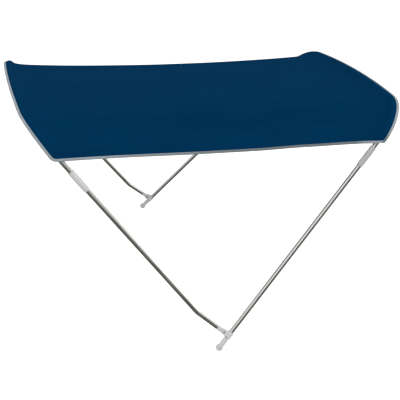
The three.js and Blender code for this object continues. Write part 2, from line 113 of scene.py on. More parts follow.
# Binding tape, pockets and thread
TAPE = 0.7
TAPE_WIDTH = 11.5
TAPE_INSIDE = 9.6
TAPE_ROWS = (7.9, 5.3)
TAPE_OVER = CLOTH / 2 + TAPE / 2 + 0.25
STOP_STEP = 9
POCKET = 0.9
POCKET_R = 13.4
POCKET_EDGE = 2
SEAM_ROWS = (24, 28)
STITCH_PITCH = 4.2
STITCH_LENGTH = 3.3
THREAD = 0.36


# Vectors in rows of three

def column(a):
    return np.asarray(a, float)[..., None]


def length_of(a):
    return np.linalg.norm(a, axis=-1)


def unit(a):
    return a / column(length_of(a))


def mix(a, b, share):
    return a + (b - a) * share


def smooth(x, low, high):
    t = np.clip((x - low) / (high - low), 0, 1)
    return t * t * (3 - 2 * t)


def full_turn(count):
    """Angles evenly round a circle."""
    return np.linspace(0, 2 * math.pi, count, endpoint=False)


def travel(points):
    """How far along a line of points each of them is."""
    return np.concatenate([[0], np.cumsum(length_of(np.diff(points, axis=0)))])


def pairs(down, over):
    """A grid of pairs, from one value for each row and one for each column."""
    return np.stack(np.broadcast_arrays(down[:, None], over[None, :]), -1)


# Bows

def slope_line(lean, towards):
    return np.array([towards * math.cos(lean), 0, math.sin(lean)])


class Bow:
    """A bow in a leaning plane, with what the cloth does at it. Its legs start half off the middle."""

    def __init__(self, base, half, lean, towards, leg, joint=0, strip=0, dip_length=0, droop=0):
        self.base = np.asarray(base, float)
        self.up = slope_line(lean, towards)
        self.half = half
        self.leg = leg
        self.joint = joint
        self.strip = strip
        self.dip_length = dip_length
        self.droop = droop
        self.shoulder = half - leg * math.tan(SPLAY)
        self.arc_y = self.shoulder - SHOULDER_R * math.cos(SPLAY)
        self.arc_h = leg - SHOULDER_R * math.sin(SPLAY)
        self.crown_r = (self.arc_y + SHOULDER_R * math.sin(CAMBER)) / math.sin(CAMBER)
        self.crown_h = self.arc_h + (SHOULDER_R - self.crown_r) * math.cos(CAMBER)

    def on(self, heading, below, side):
        """Points of the centre line, and its directions from the near side to the far side."""
        on_leg = below > 0
        on_crown = heading >= math.pi / 2 - CAMBER
        radius = np.where(on_crown, self.crown_r, SHOULDER_R)
        y = np.where(on_crown, 0, self.arc_y) + radius * np.cos(heading)
        h = np.where(on_crown, self.crown_h, self.arc_h) + radius * np.sin(heading)
        y = np.where(on_leg, self.shoulder + below * math.tan(SPLAY), y)
        h = np.where(on_leg, self.leg - below, h)
        point = self.base + column(h) * self.up + column(side * y) * ACROSS
        way = column(np.sin(heading)) * ACROSS - column(side * np.cos(heading)) * self.up
        return point, way

    def on_leg(self, side, rise):
        return self.base + rise * self.up + side * (self.half - rise * math.tan(SPLAY)) * ACROSS

    def leg_way(self, side):
        return unit(self.up - side * math.tan(SPLAY) * ACROSS)


slide_base = SLIDE_UP * slope_line(MAIN_LEAN, 1)
slide_half = FOOT_HALF_SPAN - SLIDE_UP * math.tan(SPLAY)
bend_half = slide_half - FOOT_LENGTH * math.tan(SPLAY)
bend_base = slide_base + FOOT_LENGTH * slope_line(FOOT_LEAN, -1)
FOOT = Bow(slide_base, slide_half, FOOT_LEAN, -1, FOOT_LENGTH)
SECOND = Bow(bend_base, bend_half, SECOND_LEAN, -1, SECOND_LEG, joint=136, strip=29, dip_length=28,
             droop=rad(24))
MAIN = Bow((0, 0, 0), FOOT_HALF_SPAN, MAIN_LEAN, 1, MAIN_LEG, joint=98, strip=26, dip_length=35,
           droop=rad(7))

# Run of the cloth along the bows, from the near edge over the crown to the far edge
SHOULDER_RUN = SHOULDER_R * (math.pi / 2 - CAMBER - SPLAY)
CROWN_START = EDGE_DROP + SHOULDER_RUN
CROWN_RUN = (MAIN.crown_r + SECOND.crown_r) / 2 * CAMBER
HALF_RUN = CROWN_START + CROWN_RUN
FULL_RUN = 2 * HALF_RUN


def from_edge(run):
    return np.minimum(run, FULL_RUN - run)


def both_halves(half):
    """Runs of the whole cloth, from those of its near half."""
    return np.concatenate([half, FULL_RUN - half[-2::-1]])


def row_at(run):
    """Heading, drop below the shoulder, and side, at a run from the near edge."""
    on_arc = from_edge(run) - EDGE_DROP
    turned = np.clip(on_arc, 0, SHOULDER_RUN) / SHOULDER_R
    turned = turned + np.clip(on_arc - SHOULDER_RUN, 0, CROWN_RUN) * CAMBER / CROWN_RUN
    return SPLAY + turned, np.maximum(-on_arc, 0), np.where(run < HALF_RUN, -1.0, 1.0)


def sag_share(heading):
    low = EDGE_SHARE + (1 - EDGE_SHARE) * np.sin(math.pi / 2 * np.minimum(heading / SAG_HEADING, 1))
    onwards = np.clip((heading - SAG_HEADING) / (math.pi / 2 - SAG_HEADING), 0, 1)
    return low - (1 - CROWN_SHARE) * np.sin(math.pi / 2 * onwards) ** 2


class End:
    """The cloth's rows at one bow: how squarely they cross it, the normal, and how far a strip droops."""

    def __init__(self, bow, point, way, across):
        self.bow = bow
        self.point = point
        self.way = way
        normal = np.cross(across, way)
        self.square = length_of(normal)
        self.normal = unit(normal)
        self.droop = bow.droop * np.abs(self.normal[..., 2]) ** DROOP_FADE


class Span:
    """The cloth's line across from the second bow to the main bow, at each of several runs."""

    def __init__(self, run):
        self.run = run
        row = row_at(run)
        at = {bow: bow.on(*row) for bow in (SECOND, MAIN)}
        gap = at[MAIN][0] - at[SECOND][0]
        self.length = length_of(gap)
        self.across = gap / column(self.length)
        self.ends = {bow: End(bow, *at[bow], self.across) for bow in at}
        self.rise = mix(EDGE_RISE, CROWN_RISE, np.minimum((row[0] - SPLAY) / RISE_TURN, 1))
        self.share = sag_share(row[0])

    def place(self, bow, distance):
        """The place at a distance square to a bow. A negative distance is out on its strip."""
        step = distance / self.ends[bow].square
        return step if bow is SECOND else self.length - step

    def wrap(self, square, dip_length):
        """How far beside a bow the cloth leaves the tube, and how far it has come down there."""
        turn = np.arctan(self.share * (DIP / dip_length + 4 * SAG / (self.length * square)))
        return self.rise * np.sin(turn), self.rise * (1 - np.cos(turn))

    def strip(self, bow, past):
        """What a strip past a bow moves by: it turns round the tube by its droop, then hangs straight."""
        end = self.ends[bow]
        distance = np.abs(past) * end.square
        turn = np.minimum(distance / self.rise, end.droop)
        hanging = distance - turn * self.rise
        out = np.sign(past) * (self.rise * np.sin(turn) + hanging * np.cos(turn))
        fall = self.rise * (1 - np.cos(turn)) + hanging * np.sin(turn)
        skew = (self.across * end.way).sum(-1)
        straight_out = (self.across - column(skew) * end.way) / column(end.square)
        return column(past * skew) * end.way + column(out) * straight_out - column(fall) * end.normal


def cloth_point(run, place):
    """The cloth's middle surface, at runs and at places along the span from the second bow."""
    span = Span(run)
    second, main = span.ends[SECOND], span.ends[MAIN]
    by_second = place < span.length / 2
    square = np.where(by_second, second.square, main.square)
    dip_length = np.where(by_second, SECOND.dip_length, MAIN.dip_length)
    beside = np.where(by_second, place, span.length - place) * square
    leaves, fallen = span.wrap(square, dip_length)
    on_tube = span.rise - np.sqrt(span.rise ** 2 - np.clip(beside, 0, leaves) ** 2)
    start, stop = (span.wrap(end.square, end.bow.dip_length)[0] / end.square for end in (second, main))
    free = (place - start) / (span.length - start - stop)
    beyond = np.maximum(beside - leaves, 0)
    loose = fallen + span.share * (DIP * (1 - np.exp(-beyond / dip_length)) + SAG * 4 * free * (1 - free))
    part = np.clip(place / span.length, 0, 1)
    down = np.where(beside > leaves, loose, on_tube) - creases(span, part, beside)
    normal = mix(second.normal, main.normal, column(part))
    base = mix(second.point, main.point, column(part)) + column(span.rise) * normal
    strips = span.strip(SECOND, np.minimum(place, 0)) + span.strip(MAIN, np.maximum(place - span.length, 0))
    return base + strips - column(down) * unit(normal)


def creases(span, part, beside):
    """How far the cloth stands above its stretched form: creases, broad slack and the hem's puckers."""
    height = np.zeros_like(part)
    for (q0, r0), (q1, r1), rise, width in CREASES:
        share = np.clip((part - q0) / (q1 - q0), 0, 1)
        middle = mix(r0, r1, share) + CREASE_WANDER * np.sin(share * 5.0 + r0)
        ends = smooth(share, 0, 0.3) * (1 - smooth(share, 0.7, 1))
        height += rise * ends * np.exp(-((span.run - middle) / width) ** 2)
    slack = SLACK * np.sin(span.run / 47 + 3.1 * part) * np.sin(7.3 * part + span.run / 210)
    height += slack * smooth(part, 0.02, 0.2) * (1 - smooth(part, 0.8, 0.98))
    height *= smooth(beside, 22, 90)
    along = part * span.length
    tight = np.exp(-((from_edge(span.run) - 26) / 11) ** 2) * smooth(beside, 20, 60)
    height += PUCKER * tight * np.sin(along / 6.1 + 1.7 * np.sin(along / 83))
    return height


def hem_hang(run, part):
    """How far the hem's run moves: down between the bows, and up beside the main bow."""
    low = HEM_HANG * smooth(part, *HANG_GROWS) * (1 - smooth(part, *HANG_FADES))
    drawn_up = HEM_LIFT * smooth(part, *LIFT_GROWS) * (1 - smooth(part, *LIFT_FADES))
    return (low - drawn_up) * (1 - smooth(from_edge(run), 0, HEM_REACH)) * np.where(run < HALF_RUN, -1.0, 1.0)


def tangents(run, place, step=0.5):
    """What 1 mm of place and 1 mm of run move the cloth by."""
    along_row = (cloth_point(run, place + step) - cloth_point(run, place - step)) / (2 * step)
    up_column = (cloth_point(run + step, place) - cloth_point(run - step, place)) / (2 * step)
    return along_row, up_column


def cloth(run, place):
    """Points and normals of the cloth."""
    return cloth_point(run, place), unit(np.cross(*tangents(run, place, 0.4)))


# Meshes

def new_object(name, data):
    made = bpy.data.objects.new(name, data)
    bpy.context.scene.collection.objects.link(made)
    return made


def new_piece(name, points, faces, look, uv=None, sharp=None):
    """A smooth-shaded piece on the one body, with its look's material, from points in millimetres."""
    mesh = bpy.data.meshes.new(name)
    mesh.from_pydata((points * MM).tolist(), [], faces)
    mesh.polygons.foreach_set("use_smooth", [True] * len(mesh.polygons))
    if uv is not None:
        layer = mesh.uv_layers.new(name="cut")
        corners = np.empty(len(mesh.loops), int)
        mesh.loops.foreach_get("vertex_index", corners)
        layer.data.foreach_set("uv", (uv[corners] * MM).ravel())
    if sharp is not None:
        mesh.set_sharp_from_angle(angle=rad(sharp))
    mesh.validate()
    mesh.materials.append(look.material)
    piece = new_object(name, mesh)
    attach(piece, "root")
    return piece


def grid_faces(rows, columns, start=0, wrap_rows=False, wrap_columns=False):
    i = np.arange(rows if wrap_rows else rows - 1)
    j = np.arange(columns if wrap_columns else columns - 1)
    a, b = np.meshgrid(i, j, indexing="ij")
    after, beside = (a + 1) % rows, (b + 1) % columns
    corners = [(a, b), (after, b), (after, beside), (a, beside)]
    return np.stack([start + r * columns + c for r, c in corners], -1).reshape(-1, 4)


def outwards_facing(points, faces):
    """Quads of a closed mesh, turned over where they enclose a negative volume."""
    a, b, c, d = (points[faces[:, k]] for k in range(4))
    volume = (np.cross(a, b) * c).sum() + (np.cross(a, c) * d).sum()
    return faces if volume > 0 else faces[:, ::-1]


def sheet(name, middle, normals, thickness, look, uv):
    """A closed sheet on both sides of a grid of points, with a rim round its edge."""
    outer, inner = middle + normals * thickness / 2, middle - normals * thickness / 2
    rows, columns = outer.shape[:2]
    count = rows * columns
    at = np.arange(count).reshape(rows, columns)
    loop = np.concatenate([at[0], at[1:, -1], at[-1, -2::-1], at[-2:0:-1, 0]])
    turn = np.roll(loop, -1)
    rim = np.stack([loop, loop + count, turn + count, turn], -1)
    points = np.concatenate([outer.reshape(-1, 3), inner.reshape(-1, 3)])
    faces = np.concatenate([grid_faces(rows, columns)[:, ::-1], grid_faces(rows, columns, count), rim])
    both = np.concatenate([uv.reshape(-1, 2)] * 2)
    return new_piece(name, points, outwards_facing(points, faces).tolist(), look, both, sharp=50)


def mark(piece, values, kind="wear_and_shade"):
    """How much wear, dirt and painted shade both sides of a sheet carry at each point, from 0 to 1."""
    layer = piece.data.attributes.new(kind, "FLOAT", "POINT")
    layer.data.foreach_set("value", np.tile(values.ravel(), 2))


# Canopy. Its grid has distances square to a bow, close together where the cloth rounds the tube, and
# shares of an end strip from its edge to its bow.

BESIDE_BOW = np.concatenate([np.arange(0, 16, 1.25), np.arange(16, 36, 2.5), np.arange(36, 70, 4.25),
                             np.arange(70, 150, 8)])
STRIP_SHARES = np.array([1, 0.93, 0.8, 0.6, 0.4, 0.2, 0.07])
HEM_RUNS = np.array([0, 2, 5, 9, 14, EDGE_DROP])
MIDDLE_ROWS = 42
MIDDLE_PLACES = 92


def canopy_grid():
    """Runs and places of the canopy's points."""
    shoulder = EDGE_DROP + np.linspace(0, SHOULDER_RUN, MIDDLE_ROWS)[1:]
    crown = CROWN_START + np.linspace(0, CROWN_RUN, MIDDLE_ROWS)[1:]
    runs = both_halves(np.concatenate([HEM_RUNS, shoulder, crown]))[:, None]
    span = Span(runs)
    second = span.place(SECOND, np.concatenate([-SECOND.strip * STRIP_SHARES, BESIDE_BOW]))
    main = span.place(MAIN, np.concatenate([-MAIN.strip * STRIP_SHARES, BESIDE_BOW])[::-1])
    middle = mix(second[:, -1:], main[:, :1], np.linspace(0, 1, MIDDLE_PLACES)[1:-1])
    places = np.concatenate([second, middle, main], 1)
    return np.repeat(runs, places.shape[1], 1), places, span


def build_canopy(look):
    runs, places, span = canopy_grid()
    runs, places = round_corners(runs, places)
    runs = runs + hem_hang(runs, places / span.length)
    points, normals = cloth(runs, places)
    uv = np.stack([places - span.length / 2, runs - HALF_RUN], -1)
    piece = sheet("canopy_cloth", points, normals, CLOTH, look, uv)
    beside = np.minimum(places * span.ends[SECOND].square, (span.length - places) * span.ends[MAIN].square)
    on_bow, on_hem = np.exp(-(beside / 9) ** 2), np.exp(-((from_edge(runs) - 14) / 12) ** 2)
    mark(piece, np.maximum(on_bow, 0.6 * on_hem))
    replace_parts(piece, "canopy")


# Edges of the cloth. A stop on an edge is a run and a place, and what both change by for 1 mm inwards.

def end_places(run, bow):
    """Where the end edge past a bow is."""
    return Span(run).place(bow, -bow.strip)


def end_shift(run, bow):
    """What the end edge's place changes by for 1 mm of run."""
    return (end_places(run + 1, bow) - end_places(run - 1, bow)) / 2


def second_corner(run_end, probe=10.0):
    """The angle between the edges at the second bow's corner, and 1 mm of run along and off the side."""
    runs = np.array([run_end, run_end, run_end + math.copysign(probe, HALF_RUN - run_end)])
    corner, side, end = cloth_point(runs, end_places(runs, SECOND) + np.array([0.0, probe, 0.0]))
    edge = (end - corner) / probe
    lean = float(edge @ unit(side - corner))
    rise = math.sqrt(float(edge @ edge) - lean ** 2)
    return math.atan2(rise, lean), lean, rise


def corner_centre(angle):
    return np.array([CORNER_R * (1 + math.cos(angle)) / math.sin(angle), CORNER_R])


def corner_spot(spot, run_end, lean, rise):
    """Runs and places of spots in a corner's flat plan, from how far along and off the side they are."""
    depth = spot[..., 1] / rise
    runs = run_end + np.copysign(depth, HALF_RUN - run_end)
    return runs, end_places(runs, SECOND) + spot[..., 0] - depth * lean


def round_corners(runs, places):
    """Draws the cloth's two corners on the second bow in to an arc."""
    for run_end in (0.0, FULL_RUN):
        angle, lean, rise = second_corner(run_end)
        depth = np.abs(runs - run_end)
        flat = np.stack([places - end_places(runs, SECOND) + depth * lean, depth * rise], -1)
        away = flat - corner_centre(angle)
        heading = np.arctan2(away[..., 1], away[..., 0])
        heading = np.where(heading > math.pi / 2, heading - 2 * math.pi, heading)
        draw = np.maximum(np.cos(heading + math.pi / 2), np.cos(heading - angle + 1.5 * math.pi))
        inside = (heading > angle - 1.5 * math.pi) & (heading < -math.pi / 2)
        drawn = corner_spot(corner_centre(angle) + away * column(draw), run_end, lean, rise)
        runs, places = np.where(inside, drawn[0], runs), np.where(inside, drawn[1], places)
    return runs, places


def side_stops(run_end, start, stop):
    """Stops along a side from the main bow on: inwards turns from its end edge to square to the side."""
    places = np.linspace(start, stop, int(abs(stop - start) / STOP_STEP) + 1)
    runs = np.full(len(places), run_end)
    runs = runs + hem_hang(runs, places / Span(runs).length)
    upright = smooth(np.abs(places - start), 0, 60)
    a, b = tangents(runs, places)
    row = length_of(a)
    skew = (a * b).sum(-1) / row
    square = np.sqrt((b * b).sum(-1) - skew ** 2)
    way = np.where(runs < HALF_RUN, 1.0, -1.0)
    return np.stack([runs, places, way / square,
                     way / square * mix(end_shift(runs, MAIN), -skew / row, upright)], -1)


def end_stops(runs, bow, upright):
    """Stops along an end: inwards is square to it where upright is 1, along the rows where it is 0."""
    places, shift = end_places(runs, bow), end_shift(runs, bow)
    a, b = tangents(runs, places)
    edge = b + column(shift) * a
    edge_length = length_of(edge)
    skew = (a * edge).sum(-1) / edge_length
    square = np.sqrt((a * a).sum(-1) - skew ** 2)
    way = 1.0 if bow is SECOND else -1.0
    run_step = -way * upright * skew / (square * edge_length)
    return np.stack([runs, places, run_step, way / square + run_step * shift], -1)


def corner_stops(run_end, count=14):
    """Stops round a corner on the second bow, from the side edge to the end edge."""
    angle, lean, rise = second_corner(run_end)
    turn = np.linspace(-math.pi / 2, angle - 1.5 * math.pi, count)
    out = np.stack([np.cos(turn), np.sin(turn)], -1)
    runs, places = corner_spot(corner_centre(angle) + CORNER_R * out, run_end, lean, rise)
    inward = -out[:, 1] / rise
    inward_run = np.copysign(inward, (HALF_RUN - run_end) * inward)
    inward_place = inward_run * end_shift(runs, SECOND) - out[:, 0] - inward * lean
    return np.stack([runs, places, inward_run, inward_place], -1)


def sides_binding_stops():
    """Stops from the main bow along the near side, round the second bow's end and back along the far side."""
    sides = []
    for run_end in (0.0, FULL_RUN):
        runs = np.array([run_end])
        tangent = corner_centre(second_corner(run_end)[0])[0]
        start = Span(runs).place(MAIN, TAPE_WIDTH + 0.5 - MAIN.strip)[0]
        side = side_stops(run_end, start, end_places(runs, SECOND)[0] + tangent)
        sides.append(np.concatenate([side, corner_stops(run_end)[1:]]))
    runs = np.linspace(sides[0][-1, 0], sides[1][-1, 0], int(FULL_RUN / STOP_STEP))[1:-1]
    return np.concatenate([sides[0], end_stops(runs, SECOND, 1.0), sides[1][::-1]])


def right_binding_stops():
    runs = np.linspace(0, FULL_RUN, int(FULL_RUN / STOP_STEP))
    return end_stops(runs, MAIN, smooth(from_edge(runs), 0, 50))


def inwards_of(stops, into):
    """Runs and places at distances inwards from stops."""
    return stops[..., 0] + into * stops[..., 2], stops[..., 1] + into * stops[..., 3]


# Tapes

def tape_profile(under):
    """The tape's section as into, up: outside layer drawn down at its two stitch rows, fold, inside layer."""
    fold = (TAPE_OVER - under) / 2
    lift = (TAPE_OVER + under) / 2
    turns = np.linspace(math.pi / 2, 1.5 * math.pi, 9)
    outside = [(TAPE_WIDTH, 0), (10.9, 0.12), (9.6, 0.3), (TAPE_ROWS[0], -0.12), (6.6, 0.3),
               (TAPE_ROWS[1], -0.12), (4.0, 0.32), (2.5, 0.3)]
    bend = [(1.1 + 1.8 * math.cos(t), lift + fold * math.sin(t)) for t in turns]
    inside = [(2.5, -0.3), (3.9, -0.3), (TAPE_ROWS[1], 0.1), (6.6, -0.25), (TAPE_ROWS[0], 0.1),
              (9.0, -0.1), (TAPE_INSIDE, 0)]
    return [(d, TAPE_OVER + up) for d, up in outside] + bend + [(d, under + up) for d, up in inside]


def tape_grid(stops, under):
    """Points of the tape's middle surface, and how far along the edge each stop is."""
    section = np.array([tape_profile(depth) for depth in under])
    point, normal = cloth(*inwards_of(stops[:, None], np.maximum(section[..., 0], 0.0)))
    edge, step_in = (cloth(*inwards_of(stops, into))[0] for into in (0.0, 0.5))
    outwards = unit(edge - step_in)[:, None, :]
    point = point + outwards * np.maximum(-section[..., :1], 0) + normal * section[..., 1:]
    return point, travel(edge)


def grid_normals(points):
    return unit(np.cross(np.gradient(points, axis=0), np.gradient(points, axis=1)))


def tape_piece(name, node, stops, under, look, is_right):
    """A tape over an edge, with dirt and painted shade at its fold and painted shade along it. The right one
    is darker at its ends too.
    """
    points, along_edge = tape_grid(stops, under)
    width = travel(points[len(points) // 2])
    uv = pairs(along_edge, width)
    piece = sheet(name, points, grid_normals(points), TAPE, look, uv)
    ends = np.minimum(uv[..., 0], along_edge[-1] - uv[..., 0])
    # A band of dirt and painted shade along the fold
    dirt_and_shade = np.exp(-((uv[..., 1] - width[len(width) // 2]) / 5.6) ** 2)
    shade = smooth(ends, 40, 140) * (1 - smooth(ends, 500, 1500))
    if is_right:
        dirt_and_shade = np.maximum(dirt_and_shade, np.exp(-(ends / 10) ** 2))
        shade = 1 - smooth(ends, 15, 60)
    mark(piece, dirt_and_shade)
    mark(piece, shade, "shade")
    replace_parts(piece, node)


# Pockets. Each leaves the cloth on the strip, turns round the tube by degrees, and meets the cloth again:
# that stretch is distances square to the bow, with how far each hangs below the cloth.

LEAVES_CLOTH = 15.4
POCKET_TURN = (66, 262)
SEAM_STRETCH = ((17.5, 3.2), (20, 0.9), (22, 0), (24, 0), (26, 0), (28, 0), (30, 0))


def below_cloth(run, place, slack):
    point, up = cloth(run, place)
    return point - up * (CLOTH / 2 + POCKET / 2 + 0.1 + slack)


def pocket_grid(bow):
    """The pocket's middle surface: a strip at the edge, round under the tube, and up to the seam."""
    runs = both_halves(np.concatenate([np.linspace(EDGE_DROP * 0.4, CROWN_START, 44)[:-1],
                                       np.linspace(CROWN_START, HALF_RUN, 30)]))
    span = Span(runs)
    end = span.ends[bow]
    inwards = span.across if bow is SECOND else -span.across
    leaves = LEAVES_CLOTH + span.rise * end.droop
    strip = [(mix(bow.strip - POCKET_EDGE, leaves, share), 0) for share in np.linspace(0, 1, 5)]
    lines = []
    for distance, slack in strip + [(leaves - 0.7, 1.2)]:
        place = span.place(bow, -distance)
        lines.append(below_cloth(*(round_corners(runs, place) if bow is SECOND else (runs, place)), slack))
    first, last = POCKET_TURN
    for degrees in np.arange(first, last + 1, 9):
        turn = rad(degrees) + end.droop * (last - degrees) / (last - first)
        out = inwards * column(POCKET_R * np.sin(turn) / end.square)
        lines.append(end.point - out + end.normal * column(POCKET_R * np.cos(turn)))
    for distance, slack in SEAM_STRETCH:
        lines.append(below_cloth(runs, span.place(bow, distance), slack))
    return np.stack(lines, 1), runs


def pocket_piece(name, node, bow, look):
    points, runs = pocket_grid(bow)
    uv = pairs(runs, travel(points[len(points) // 2]))[..., ::-1]
    piece = sheet(name, points, grid_normals(points), POCKET, look, uv)
    mark(piece, np.zeros(points.shape[:2]))
    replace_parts(piece, node)


# Tubes

TUBE_FACES = 32


def sweep(name, path, look, node):
    """A round tube with open ends along a path, with its own bore."""
    way = unit(np.gradient(path, axis=0))
    plane = unit(np.cross(path[len(path) // 2] - path[0], path[-1] - path[0]) + 1e-9)
    if abs(float(plane @ way[0])) > 0.5:
        plane = unit(np.cross(way[0], ACROSS))
    side = unit(plane - way * (way @ plane)[:, None])
    other = np.cross(way, side)
    turn = full_turn(TUBE_FACES)
    ring = side[:, None, :] * np.cos(turn)[None, :, None] + other[:, None, :] * np.sin(turn)[None, :, None]
    points = np.concatenate([(path[:, None, :] + ring * r).reshape(-1, 3) for r in (TUBE_R, BORE_R)])
    count = len(path) * TUBE_FACES
    skin = grid_faces(len(path), TUBE_FACES, 0, wrap_columns=True)
    k = np.arange(TUBE_FACES)
    after = (k + 1) % TUBE_FACES
    first = np.stack([k, after, after + count, k + count], -1)
    last = np.stack([after, k, k + count, after + count], -1) + count - TUBE_FACES
    faces = outwards_facing(points, np.concatenate([skin, skin[:, ::-1] + count, first, last]))
    uv = pairs(travel(path), turn * TUBE_R).reshape(-1, 2)
    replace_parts(new_piece(name, points, faces.tolist(), look, np.concatenate([uv, uv]), sharp=40), node)


def arch_path(bow):
    """Centre line from the near joint over the crown to the far joint."""
    below = np.linspace(bow.joint - TUBE_GAP, EDGE_DROP * 0.5, 12)
    leg = bow.on(np.full(12, SPLAY), below, -1.0)[0]
    shoulder = np.linspace(EDGE_DROP, CROWN_START, 60)
    crown = np.linspace(CROWN_START, HALF_RUN, 14)[1:-1]
    heading, drop, _ = row_at(np.concatenate([shoulder, crown]))
    half = np.concatenate([leg, bow.on(heading, drop, -1.0)[0]])
    top = bow.on(np.array([math.pi / 2]), np.array([0.0]), -1.0)[0]
    return np.concatenate([half, top, half[::-1] * np.array([1, -1, 1])])


def straight(start, end, count):
    return mix(start, end, np.linspace(0, 1, count)[:, None])


def second_leg_path(side):
    """From the eye end's shoulder along the foot, round the bend, and up to the joint."""
    foot, leg = FOOT.leg_way(side), SECOND.leg_way(side)
    corner = FOOT.on_leg(side, FOOT_LENGTH)
    start = FOOT.on_leg(side, 0) + foot * SECOND_TUBE_START
    turn = math.acos(float(foot @ leg))
    cut = BEND_R * math.tan(turn / 2)
    first, last = corner - foot * cut, corner + leg * cut
    centre = first + unit(leg - foot * float(foot @ leg)) * BEND_R
    t = np.linspace(0, turn, 14)[:, None]
    arc = centre + (first - centre) * np.cos(t) + foot * BEND_R * np.sin(t)
    end = SECOND.on_leg(side, SECOND_LEG - SECOND.joint - TUBE_GAP)
    return np.concatenate([straight(start, first, 8)[:-1], arc, straight(last, end, 24)[1:]])


def main_leg_path(side):
    return straight(MAIN.on_leg(side, 0) + MAIN.leg_way(side) * MAIN_TUBE_START,
                    MAIN.on_leg(side, MAIN_LEG - MAIN.joint - TUBE_GAP), 40)


def build_tubes(look):
    for bow, name in ((MAIN, "main"), (SECOND, "second")):
        sweep(name + "_bow_tube", arch_path(bow), look, name + "_arch")
    for side, word in SIDES:
        for name, path in (("main", main_leg_path(side)), ("second", second_leg_path(side))):
            sweep(f"{name}_leg_tube_{word}", path, look, f"{name}_leg_{word}")


# Fittings. An outline is in radius and height, and is turned about an axis.

SLEEVE_OUTLINE = [(11.2, -55), (12.5, -55), (13.9, -51), (14.7, -34), (14.9, 24), (14.3, 49.4), (15.5, 50.2),
                  (15.5, 54.3), (14.8, 55), (11.2, 55)]
NECK_R = 12.4
NECK_START = (13, 24)
NECK_GROOVE = (46.0, 50.6)
GROOVE_R = 9.1
FITTING_VOXEL = 0.8
RIVET_VOXEL = 0.35
SMOOTHING = 6
SCREW_UP = 57.5
SCREW_OUT = 15.0
SCREW_TURN = rad(46)
SCREW_OUTLINE = [(0.01, -3), (3.9, -3), (3.9, 0.2), (3.6, 0.5), (2.6, 0.5), (2.3, 0.2), (2.3, -1.8),
                 (0.01, -1.8)]


def fillet(points, radius, steps=4):
    """A closed outline with its corners rounded."""
    points = np.array(points)
    rounded = []
    for k, corner in enumerate(points):
        back, ahead = points[k - 1] - corner, points[(k + 1) % len(points)] - corner
        cut = min(radius, 0.45 * length_of(back), 0.45 * length_of(ahead))
        first, last = corner + unit(back) * cut, corner + unit(ahead) * cut
        for t in np.linspace(0, 1, steps + 1):
            rounded.append((1 - t) ** 2 * first + 2 * t * (1 - t) * corner + t * t * last)
    return np.array(rounded)


def lathe(name, outline, origin, axis, look, facets=48):
    """A piece of a closed outline turned about an axis."""
    axis = unit(axis)
    side = unit(np.cross(axis, ACROSS if abs(axis[1]) < 0.9 else np.array([1.0, 0, 0])))
    other = np.cross(axis, side)
    turn = full_turn(facets)
    ring = np.cos(turn)[:, None] * side + np.sin(turn)[:, None] * other
    points = origin + outline[None, :, :1] * ring[:, None, :] + outline[None, :, 1:] * axis
    points = points.reshape(-1, 3)
    faces = outwards_facing(points, grid_faces(facets, len(outline), wrap_rows=True, wrap_columns=True))
    return new_piece(name, points, faces.tolist(), look, sharp=50)


def build_sleeves(greyer, whiter):
    outline = fillet(SLEEVE_OUTLINE, 0.45)
    for bow, word, look in ((MAIN, "main", greyer), (SECOND, "second", whiter)):
        for side, end in SIDES:
            middle = bow.on_leg(side, bow.leg - bow.joint)
            piece = lathe(f"{word}_joint_sleeve_{end}", outline, middle, bow.leg_way(side), look)
            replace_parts(piece, f"{word}_sleeve_{end}")


def moulded(name, node, look, voxel=FITTING_VOXEL, shape=None):
    """A fine mesh of a moulded fitting with softly rounded edges, from the solid that it stands for."""
    copy = new_object(name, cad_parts[node].data.copy())
    remesh = copy.modifiers.new("skin", "REMESH")
    remesh.mode = "VOXEL"
    remesh.voxel_size = voxel * MM
    soften = copy.modifiers.new("edges", "SMOOTH")
    soften.factor = 0.5
    soften.iterations = SMOOTHING
    mesh = bpy.data.meshes.new_from_object(copy.evaluated_get(bpy.context.evaluated_depsgraph_get()))
    mesh.name = name
    copy.modifiers.clear()
    copy.data = mesh
    if shape is not None:
        points = np.empty(len(mesh.vertices) * 3)
        mesh.vertices.foreach_get("co", points)
        mesh.vertices.foreach_set("co", (shape(points.reshape(-1, 3) / MM) * MM).ravel())
    mesh.materials.clear()
    mesh.materials.append(look.material)
    mesh.polygons.foreach_set("use_smooth", [True] * len(mesh.polygons))
    mesh.update()
    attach(copy, "root")
    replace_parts(copy, node)


def full_neck(origin, axis):
    """A foot eye's full round neck, and the groove round it just below the slide's collar."""
    def shape(points):
        height = (points - origin) @ axis
        off = points - origin - height[:, None] * axis
        radius = length_of(off)
        start, stop = NECK_GROOVE
        full = smooth(height, *NECK_START) * (1 - smooth(height, stop - 0.6, stop)) * (radius > 6)
        inside = smooth(height, start, start + 1) * (1 - smooth(height, stop - 1, stop)) * (radius > 6)
        lean = mix(1.0, (NECK_R - inside * (NECK_R - GROOVE_R)) / np.maximum(radius, 1), full)
        return origin + height[:, None] * axis + off * lean[:, None]
    return shape


def build_fittings(nylon, steel):
    for side, end in SIDES:
        neck = full_neck(MAIN.on_leg(side, 0), MAIN.leg_way(side))
        moulded("foot_eye_" + end, "main_eye_" + end, nylon, shape=neck)
        moulded("slide_body_" + end, "slide_" + end, nylon)
        moulded("second_foot_eye_" + end, "second_eye_" + end, nylon)
        moulded("slide_rivet_" + end, "slide_pin_" + end, steel, RIVET_VOXEL)


def build_screws(look):
    """A set screw in each slide's collar, on its outer side, turned towards the second leg."""
    for side, end in SIDES:
        way = MAIN.leg_way(side)
        outwards = unit(ACROSS * side - way * float(way[1] * side))
        sideways = np.cross(way, outwards) * side
        facing = unit(outwards * math.cos(SCREW_TURN) + sideways * math.sin(SCREW_TURN))
        spot = MAIN.on_leg(side, 0) + way * SCREW_UP + facing * SCREW_OUT
        lathe("slide_screw_" + end, fillet(SCREW_OUTLINE, 0.2, 2), spot, facing, look, 24)


